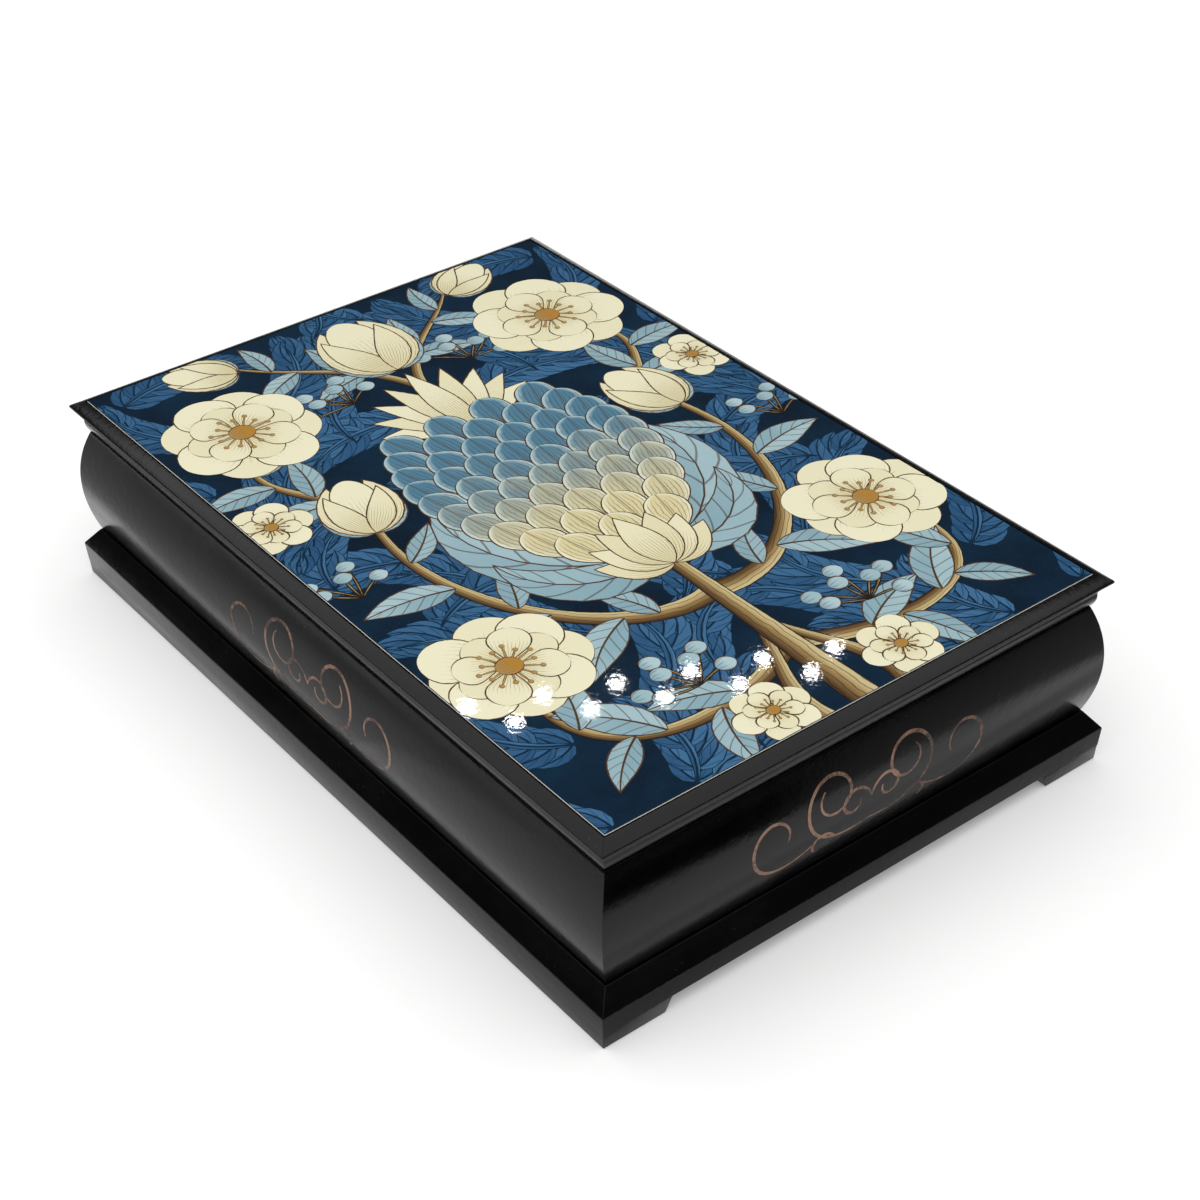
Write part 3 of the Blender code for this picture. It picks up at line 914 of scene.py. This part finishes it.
def drawRosette(middle, radius, turn, petals=8):
    # two rings of petals round a seeded heart
    middle = Vector(middle)
    for ring, (reach, wide, shift) in enumerate(rosette["rings"]):
        for number in list(range(0, petals, 2)) + list(range(1, petals, 2)):
            sway = random.uniform(-rosette["sway"], rosette["sway"])
            heading = turn + (number + shift) * 360 / petals + sway
            length = radius * reach * random.uniform(*rosette["lengths"])
            bend = random.uniform(-rosette["bend"], rosette["bend"])
            path = sweep(middle + towards(heading) * radius * rosette["root"], heading, length, bend, 8)
            tone = rosette["evenTone"] * (1 - number % 2) + rosette["ringTone"] * ring
            stroke(lidFace, "cream_paint", path, radius * wide, "petal", tone)
    for number in range(rosette["seeds"]):
        heading = turn + number * 360 / rosette["seeds"]
        reach = radius * (rosette["seedReach"] + rosette["seedStagger"] * (number % 2))
        stem = sweep(middle, heading, reach, 0, 6)
        stroke(lidFace, "seed_paint", stem, radius * rosette["seedStem"], "thread")
        drawDot("seed_paint", middle + towards(heading) * reach, radius * rosette["seedHead"])
    drawDot("heart_paint", middle, radius * rosette["heart"], rosette["heartTone"])


tulipPetals = (  # paint, lean to each side, length, bend, half width, kind of stroke, tone
    ("pale_paint", 66, 0.7, 60, 0.13, "leaf", 0.4), ("cream_paint", 42, 1.0, 62, 0.21, "leaf", 0.7),
    ("cream_paint", 0, 0.98, 0, 0.24, "petal", 0.1), ("cream_paint", 34, 0.84, 30, 0.15, "leaf", 0.45),
)


def drawTulip(base, heading, length):
    for paint, lean, reach, bend, wide, kind, tone in tulipPetals:
        for side in (1, -1) if lean else (1,):
            path = sweep(base, heading + side * lean, length * reach, -side * bend)
            stroke(lidFace, paint, path, length * wide, kind, tone)


berry = {"fan": 26, "stem": 7.5, "stagger": 3.2, "bend": 14, "stemHalf": 0.4, "toneStep": 0.35}


def drawBerries(base, heading, count, size):
    tips = []
    for number in range(count):
        odd = number % 2
        fan = heading + (number - (count - 1) / 2) * berry["fan"]
        bend = berry["bend"] if odd else -berry["bend"]
        path = sweep(base, fan, berry["stem"] + berry["stagger"] * odd, bend, 10)
        stroke(lidFace, "branch_paint", path, berry["stemHalf"], "thread")
        tips.append(path[-1])
    for number, tip in enumerate(tips):
        drawDot("berry_paint", tip, size, berry["toneStep"] * (number % 3))


frond = {  # lengths and widths are shares of its length, or of a lobe's
    "pairs": 8, "first": 0.06, "run": 0.84, "lobe": 0.40, "lobeLeast": 1.5, "lean": 62, "close": 34,
    "bend": 58, "lobeHalf": 0.21, "spineHalf": 0.035,
}
foliage = {
    "rows": 9, "columns": 4, "corner": (7, -86), "pitch": (15.5, 20.5), "stagger": 7.5,
    "heading": 30, "headingStep": 60, "bend": 75, "sway": 12, "lengths": (25, 31), "tones": (0.0, 0.9),
}


def drawFrond(base, heading, length, bend, tone):
    # feathered leaf in two blues, behind everything else
    spine = sweep(base, heading, length, bend, 18)
    for number in range(frond["pairs"]):
        share = frond["first"] + frond["run"] * number / (frond["pairs"] - 1)
        point, way = pathAt(spine, share)
        size = length * frond["lobe"] * math.sin(math.pi * (0.22 + 0.68 * share)) + frond["lobeLeast"]
        for side in (1, -1):
            lean = side * (frond["lean"] - frond["close"] * share)
            path = sweep(point, angleOf(way) + lean, size, -side * frond["bend"], 8)
            stroke(lidFace, "frond_paint", path, size * frond["lobeHalf"], "lobe", tone, True)
    stroke(lidFace, "frond_paint", spine, length * frond["spineHalf"], "leaf", 0.0)


def drawFoliage():
    # fronds on a staggered grid, mirrored about the middle
    sway = foliage["sway"]
    for row in range(foliage["rows"]):
        for column in range(foliage["columns"]):
            q = foliage["corner"][0] + column * foliage["pitch"][0] + (row % 2) * foliage["stagger"]
            p = foliage["corner"][1] + row * foliage["pitch"][1]
            step = row + column
            heading = foliage["heading"] + foliage["headingStep"] * (step % 3) + random.uniform(-sway, sway)
            bend = (foliage["bend"] if step % 2 else -foliage["bend"]) + random.uniform(-sway, sway)
            length = random.uniform(*foliage["lengths"])
            tone = random.uniform(*foliage["tones"])
            drawFrond((q, p), heading, length, bend, tone)
            drawFrond((-q, p), 180 - heading, length, -bend, tone)


branchPlan = [  # right-hand curve, half width, leaves as (share along, side, length, lean, bend, tone)
    {"points": ((0, -66), (18, -78), (50, -76), (45, -50)), "wide": 2.3, "leaves": (
        (0.24, 1, 19, 48, -30, 0.2), (0.34, -1, 17, 55, 30, 0.5), (0.52, 1, 21, 50, -34, 0.0),
        (0.62, -1, 15, 60, 25, 0.7), (0.80, 1, 18, 58, -30, 0.3))},
    {"points": ((0, -46), (20, -52), (44, -22), (37, 8)), "wide": 2.6, "leaves": (
        (0.20, 1, 15, 60, -30, 0.6), (0.30, -1, 20, 52, 34, 0.1), (0.48, -1, 22, 48, 30, 0.4),
        (0.56, 1, 15, 62, -20, 0.7), (0.72, -1, 19, 55, 26, 0.0), (0.86, 1, 14, 60, -24, 0.5))},
    {"points": ((36.5, 14), (34, 26), (54, 32), (40, 50)), "wide": 1.7, "leaves": (
        (0.22, -1, 18, 50, 26, 0.2), (0.36, 1, 16, 58, -30, 0.6), (0.60, -1, 17, 52, 30, 0.4),
        (0.76, 1, 15, 60, -30, 0.1))},
    {"points": ((0, 46), (5, 64), (18, 66), (27, 78)), "wide": 1.4, "leaves": (
        (0.30, -1, 15, 52, 30, 0.3), (0.42, 1, 14, 54, -26, 0.6), (0.66, -1, 15, 56, 24, 0.0),
        (0.80, 1, 13, 58, -28, 0.4))},
    {"points": ((9, -86), (11, -76), (4, -70), (0, -56)), "wide": 2.2, "leaves": ()},
]
trunk = {"foot": (0, -86), "length": 64, "wide": 3.4, "leafHalf": 0.205}


def drawBranches():
    for branch in branchPlan:
        path = curve(*branch["points"])
        for hand, way in ((1, path), (-1, flipped(path))):
            stroke(lidFace, "branch_paint", way, branch["wide"], "stem")
            for share, side, length, lean, bend, tone in branch["leaves"]:
                point, heading = pathAt(way, share)
                turn = side * hand
                spine = sweep(point, angleOf(heading) + turn * lean, length, turn * bend)
                stroke(lidFace, "pale_paint", spine, length * trunk["leafHalf"], "leaf", tone)
    stroke(lidFace, "branch_paint", sweep(trunk["foot"], 90, trunk["length"], 0, 24), trunk["wide"], "stem")


fruit = {
    "top": 30.0, "foot": -20.0, "half": 22.0, "rows": 10, "drop": 8, "pitch": 7.4, "spread": 0.88,
    "lean": 30, "scaleLong": 13.5, "scaleHalf": 4.7,
    "sepals": ((-30, 84, 52, 104, 7.5, 0.15), (-31, 112, 36, 110, 5.6, 0.55)),
    "crown": ((0, 27), 9, 14, 27, 1.7, 5, 3.4, (0.15, 0.65)),
    "calyx": ((0, -35), 7, 24, 19, 1.2, -8, 3.8, (0.9, 0.4)),
}


def drawFan(foot, petals, spread, length, taper, bend, wide, tones):
    # petals from the outside in, so that the middle one lies on top
    middle = petals // 2
    for number in sorted(range(petals), key=lambda number: -abs(number - middle)):
        place = number - middle
        path = sweep(foot, 90 + place * spread, length - abs(place) * taper, place * bend)
        stroke(lidFace, "cream_paint", path, wide, "leaf", tones[number % 2])


def drawPomegranate():
    # overlapping scales from the crown down, held in curling sepals
    for side in (1, -1):
        for foot, lean, length, bend, wide, tone in fruit["sepals"]:
            path = sweep((side, foot), 90 - side * lean, length, side * bend)
            stroke(lidFace, "pale_paint", path, wide, "leaf", tone)
    drawFan(*fruit["crown"])
    for row in range(fruit["rows"]):
        share = row / (fruit["rows"] - 1)
        p = fruit["top"] + (fruit["foot"] - fruit["top"]) * share - fruit["drop"]
        half = fruit["half"] * math.sin(math.pi * (0.20 + 0.70 * share)) ** 0.75
        count = int(half * 2 / fruit["pitch"]) + 1
        count += (count + row) % 2
        for number in range(count):
            place = 2 * number / (count - 1) - 1 if count > 1 else 0.0
            lean = place * fruit["lean"] * (1 - 0.3 * share)
            path = sweep((place * half * fruit["spread"], p), 90 - lean, fruit["scaleLong"], lean * 0.6, 10)
            stroke(lidFace, "scale_paint", path, fruit["scaleHalf"], "petal", share)
    drawFan(*fruit["calyx"])


def drawBlossoms():
    for side in (1, -1):
        drawBerries((side * 20, -66), 90 - side * 10, 7, 2.1)
        drawBerries((side * 51, -8), 90 - side * 4, 5, 1.9)
        drawBerries((side * 15, 50), 90 - side * 20, 6, 2.0)
        drawRosette((side * 42.5, -41), 15.5, 10 * side)
        drawRosette((side * 38.5, 55), 16.5, 22 * side)
        drawTulip((side * 37.5, 8), 90 + side * 14, 20)
        drawTulip((side * 27, 76), 90 - side * 60, 16)
        drawRosette((side * 52, 22), 8.5, 5 * side, 6)
        drawRosette((side * 15, -79), 8.0, 0, 6)
    drawTulip((0, 56), 90, 25)


paints = {  # maker, colours where it takes them, number of veins or hatches, outline's width
    "frond_paint": (makeLeafPaint, "sky", "blue", "navy", 3.0, 0.20),
    "branch_paint": (makeBarkPaint, 2.2, 0.30),
    "pale_paint": (makeLeafPaint, "mist", "pale", "umber", 6.5, 0.32),
    "cream_paint": (makePetalPaint, "ivory", "cream", "umber", 5.5, 0.32),
    "scale_paint": (makeScalePaint, 4.5, 0.34),
    "berry_paint": (makePetalPaint, "mist", "pale", "umber", 2.0, 0.30),
    "heart_paint": (makePetalPaint, "ochre", "tan", "umber", 4.0, 0.24),
    "seed_paint": (makePetalPaint, "tan", "ochre", "umber", 1.0, 0.10),
}


def trimToPanel(piece):
    # cut away what runs past the panel's edge
    inset = picture["edge"] + picture["trim"]
    for x, y in ((1, 0), (-1, 0), (0, 1), (0, -1)):
        cutAway(piece, (x * (pictureHigh.x - inset), y * (pictureHigh.y - inset), 0), (x, y, 0), False)


def makePicture():
    inset = halfLength - pictureHigh.x
    board = drawBoard("picture_panel_painted", [
        (inset, pictureLow.z), (inset, groundTop - picture["edge"]), (inset + picture["edge"], groundTop)])
    finishPiece(board, makeGroundPaint(), "lid", "lacquered_picture", "picture_panel")
    drawFoliage()
    drawBranches()
    drawPomegranate()
    drawBlossoms()
    for paint, (maker, *settings) in paints.items():
        painted = joinPieces(strokes[paint], f"picture_{paint}")
        trimToPanel(painted)
        useModifier(painted, "SOLIDIFY", thickness=picture["skin"], offset=-1)
        finishPiece(painted, maker(paint, *settings), "lid", "lacquered_picture")


makePicture()
print("picture painted on", max(level for box, level in lidFace["painted"]), "levels")


# walls: a thin copper scroll in the middle of each side

scroll = {
    "lineHalf": 0.36, "middle": 2.5, "size": 0.74, "lift": 0.006 * mm, "liftStep": 0.5, "skin": 0.004 * mm,
    "gilt": (0.36, 0.20, 0.135), "metal": 0.35, "smooth": 0.32, "dull": 0.5,
    "bump": (0.1, 0.03 * mm),
}
scrollPlan = [  # right-hand lines: start, heading, length, turning at the start and at the end
    ((0, -6), -10, 66, 1.2, 14.0), ((0, 1.5), 75, 22, -7.5, -26.0), ((18, -4.6), -26, 44, 1.6, 13.0),
    ((11, -5.6), 55, 12, -6.0, -30.0),
]


def makeScrollGilt():
    # thin copper line, rubbed away in places
    material, tree = newFinish("scroll_gilt")
    patches = times(tree, grain(tree, 1500, 3), 0.4)
    worn = band(tree, calc(tree, "MULTIPLY_ADD", grain(tree, 120, 4, 0.6), 0.8, patches), 0.48, 0.72)
    setLook(tree, {
        "Base Color": blendColour(tree, times(tree, worn, 0.85), scroll["gilt"], blackLook["body"]),
        "Roughness": span(tree, grain(tree, 900, 3), scroll["smooth"], scroll["dull"]),
        "Metallic": scroll["metal"]})
    addBump(tree, grain(tree, 1800, 3), *scroll["bump"])
    return material


def wallReach(height):
    # how far out the wall's face stands at a height
    for before, after in zip(wallArc, wallArc[1:]):
        if height <= after.y:
            return before.x + (after.x - before.x) * (height - before.y) / (after.y - before.y)
    return wallArc[-1].x


def wallFace(name):
    along, out, halfRun, halfOut = sides[name]
    middle = (wallFoot + neck) / 2

    def onWall(spot, level):
        height = middle + spot.y * mm
        lift = scroll["lift"] * (1 + scroll["liftStep"] * level)
        return along * spot.x * mm + out * (halfOut + wallReach(height) + lift) + up * height

    return {"place": onWall, "painted": []}


def coil(start, heading, length, bendFirst, bendLast, steps=60):
    # a path whose turning, in degrees for each millimetre, changes evenly along it
    points = [Vector(start)]
    for step in range(steps):
        share = (step + 0.5) / steps
        heading += (bendFirst + (bendLast - bendFirst) * share) * length / steps
        points.append(points[-1] + towards(heading) * length / steps)
    return points


def makeScrolls():
    gilt = makeScrollGilt()
    for name in sides:
        face = wallFace(name)
        for line in scrollPlan:
            path = [(point - Vector((0, scroll["middle"]))) * scroll["size"] for point in coil(*line)]
            for way in (path, flipped(path)):
                stroke(face, f"scroll_{name}", way, scroll["lineHalf"], "line")
        painted = joinPieces(strokes[f"scroll_{name}"], f"wall_scroll_{name}")
        useModifier(painted, "SOLIDIFY", thickness=scroll["skin"], offset=-1)
        finishPiece(painted, gilt, "case", "black_lacquer")
    for mesh, places in templates.values():
        bpy.data.meshes.remove(mesh)


makeScrolls()
print("wall scrolls drawn")


# stage: white table, softboxes overhead, and cards and lamps that show only as reflections

stageSet = {
    "floor": (0.93, 0.93, 0.925), "floorSize": 8.0, "floorDrop": 0.02 * mm, "speck": 0.995,
    "tableGlow": 0.20, "fade": (0.16, 1.3), "world": 0.06, "boxTurn": 45, "boxGlow": 4.49, "cardLift": mm,
}
softboxes = {  # middle, length and depth of each white panel overhead
    "overhead_softbox": ((0.05, -0.27, 0.80), 2.2, 1.8),
    "left_softbox": ((-1.27, -0.09, 0.80), 0.65, 0.32),
}
cards = {  # middle of the near edge, turn, depth and width, then tones that blend along a heading
    "right_card": {"edge": (0.147, 0.0), "turn": 22.0, "deep": 2.0, "wide": 2.0, "from": (0.17, 0.028),
                   "heading": 121.3, "tones": (0.004, 0.33), "blend": (-0.008, 0.014)},
    "right_strip": {"edge": (0.0905, 0.0), "turn": 0.0, "deep": 0.010, "wide": 0.3, "from": (0.0, 0.0),
                    "heading": 90.0, "tones": (0.84, 0.50), "blend": (0.02, 0.08)},
    "left_card": {"edge": (0.0, -0.168), "turn": 180.0, "deep": 0.47, "wide": 0.206, "from": (0.0, 0.0),
                  "heading": 180.0, "tones": (0.84, 0.42), "blend": (0.02, 0.12)},
}
lampBar = {  # a bar of small lamps in two staggered rows, whose glints break up in the varnish
    "start": (-0.958, 0.611, 1.0), "step": (0.0131, 0.0295, 0.0), "aside": (0.027, -0.0095, 0.0),
    "count": 11, "radius": 0.007, "facets": 16, "glow": 70.0,
}
white = (1, 1, 1, 1)
black = (0, 0, 0, 1)


def showMirrored(piece, material):
    # on the set only as a reflection
    piece.data.materials.append(material)
    piece.visible_camera = False
    piece.visible_diffuse = False
    piece.visible_shadow = False


def layCard(name, card):
    # a card on the table beside the box
    turn = math.radians(card["turn"])
    heading = math.radians(card["heading"])
    away = Vector((math.cos(turn), math.sin(turn), 0))
    piece = addPlane(name, 1, Vector((*card["edge"], stageSet["cardLift"])) + away * card["deep"] / 2, turn)
    piece.scale = (card["deep"], card["wide"], 1)
    applyPlace(piece)
    material, tree = newFinish(name)
    x, y = objectPlace(tree)[:2]
    east = times(tree, calc(tree, "SUBTRACT", x, card["from"][0]), math.cos(heading))
    north = times(tree, calc(tree, "SUBTRACT", y, card["from"][1]), math.sin(heading))
    share = band(tree, plus(tree, east, north), *card["blend"])
    near, far = ((tone, tone, tone) for tone in card["tones"])
    setLook(tree, {"Base Color": blendColour(tree, share, near, far), "Specular IOR Level": 0.0})
    showMirrored(piece, material)


def hangLamps():
    material, tree = newFinish("lamp_bar")
    setLook(tree, {"Base Color": black, "Emission Color": white, "Emission Strength": lampBar["glow"]})
    start, step, aside = (Vector(lampBar[key]) for key in ("start", "step", "aside"))
    lamps = []
    for number in range(lampBar["count"]):
        clearSelection()
        bpy.ops.mesh.primitive_circle_add(
            vertices=lampBar["facets"], radius=lampBar["radius"], fill_type="NGON",
            location=start + step * number + aside * (number % 2))
        lamps.append(bpy.context.object)
    bar = joinPieces(lamps, "lamp_bar")
    applyPlace(bar)
    showMirrored(bar, material)


def layTable():
    # white where it is seen or mirrored, with the box's shadow on it
    table = addPlane("white_table", stageSet["floorSize"], (0, 0, -stageSet["floorDrop"]))
    material, tree = newFinish("white_table")
    dimmer = tuple(part * stageSet["speck"] for part in stageSet["floor"])
    rays = tree.nodes.new("ShaderNodeLightPath").outputs
    mirrored = most(tree, rays["Is Glossy Ray"], rays["Is Transmission Ray"])
    seen = most(tree, rays["Is Camera Ray"], mirrored)
    glow = times(tree, seen, stageSet["tableGlow"])
    x, y = objectPlace(tree)[:2]
    away = calc(tree, "SQRT", calc(tree, "MULTIPLY_ADD", x, x, times(tree, y, y)))
    fade = times(tree, band(tree, away, *stageSet["fade"]), seen)
    setLook(tree, {
        "Base Color": blendColour(tree, grain(tree, 40, 3), stageSet["floor"], dimmer),
        "Roughness": 0.9, "Specular IOR Level": 0.1, "Emission Color": white,
        "Emission Strength": plus(tree, glow, fade)})
    table.data.materials.append(material)


def hangSoftboxes():
    for name, (middle, long, deep) in softboxes.items():
        bpy.ops.object.light_add(type="AREA", location=middle,
                                 rotation=(0, 0, math.radians(stageSet["boxTurn"])))
        lamp = bpy.context.object
        lamp.name = name
        lamp.data.shape = "RECTANGLE"
        lamp.data.size = long
        lamp.data.size_y = deep
        lamp.data.energy = stageSet["boxGlow"] * long * deep


def setWorld():
    world = bpy.data.worlds.new("studio")
    bpy.context.scene.world = world
    world.use_nodes = True
    tree = world.node_tree
    backdrop = tree.nodes["Background"]
    backdrop.inputs["Color"].default_value = white
    seen = tree.nodes.new("ShaderNodeLightPath").outputs["Is Camera Ray"]
    tree.links.new(span(tree, seen, stageSet["world"], 1.0), backdrop.inputs["Strength"])
    bpy.context.scene.view_settings.view_transform = "Standard"


layTable()
for name, card in cards.items():
    layCard(name, card)
hangLamps()
hangSoftboxes()
setWorld()

view = {"lens": 69.26, "sensor": 36, "azimuth": 52.19, "elevation": 35.90, "roll": -0.73,
        "distance": 474.2 * mm, "across": 7.3 * mm, "above": 12.2 * mm, "clipStart": 10 * mm}


def placeCamera():
    azimuth, elevation, roll = (math.radians(view[key]) for key in ("azimuth", "elevation", "roll"))
    back = Vector((math.sin(azimuth) * math.cos(elevation), -math.cos(azimuth) * math.cos(elevation),
                   math.sin(elevation)))
    level = Vector((math.cos(azimuth), math.sin(azimuth), 0))
    rise = back.cross(level)
    right = level * math.cos(roll) + rise * math.sin(roll)
    top = rise * math.cos(roll) - level * math.sin(roll)
    spot = back * view["distance"] + right * view["across"] + top * view["above"]
    bpy.ops.object.camera_add()
    camera = bpy.context.object
    camera.name = "photo_camera"
    camera.matrix_world = Matrix.Translation(spot) @ Matrix((right, top, back)).transposed().to_4x4()
    camera.data.lens = view["lens"]
    camera.data.sensor_width = view["sensor"]
    camera.data.clip_start = view["clipStart"]
    bpy.context.scene.camera = camera


placeCamera()
print("stage and camera set")
